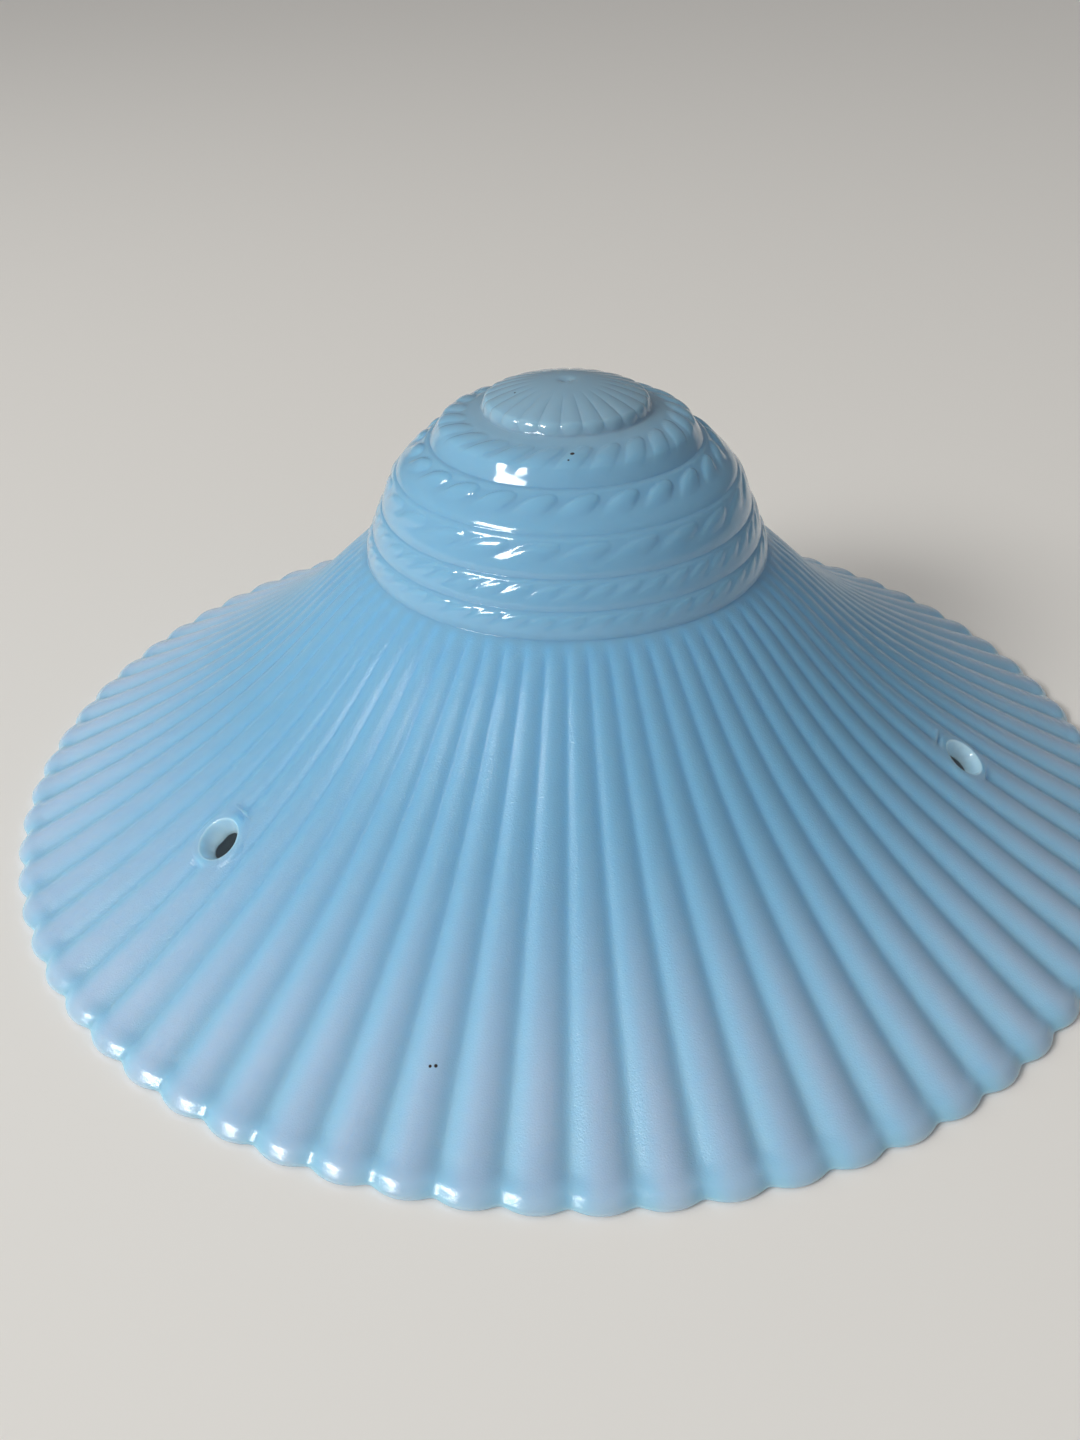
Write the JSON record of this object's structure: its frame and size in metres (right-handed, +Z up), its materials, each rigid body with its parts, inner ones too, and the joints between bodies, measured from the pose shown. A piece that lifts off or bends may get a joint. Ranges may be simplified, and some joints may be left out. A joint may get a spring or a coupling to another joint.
{
  "type": "glass ceiling lamp shade",
  "caption": "Pressed-glass ceiling lamp shade: stepped dome over a fluted bell skirt with a scalloped rim, hung dome down by hooks through holes in the skirt.",
  "frame": {"origin": "centre of the rim, at the level of the flat ring under the lip that the shade stands on", "axes": "+Z up the shade's axis, from the rim to the dome; -Y is the front; the holes are at azimuths 100, 220 and 340 degrees from +X towards +Y"},
  "size_m": [0.3556, 0.3556, 0.1305],
  "materials": {
    "glass": "pale blue translucent opaline glass, glossy on the dome and along the lip, satin on the fluted skirt"
  },
  "bodies": {
    "root": {"glass_shade": "glass"}
  },
  "joints": []
}
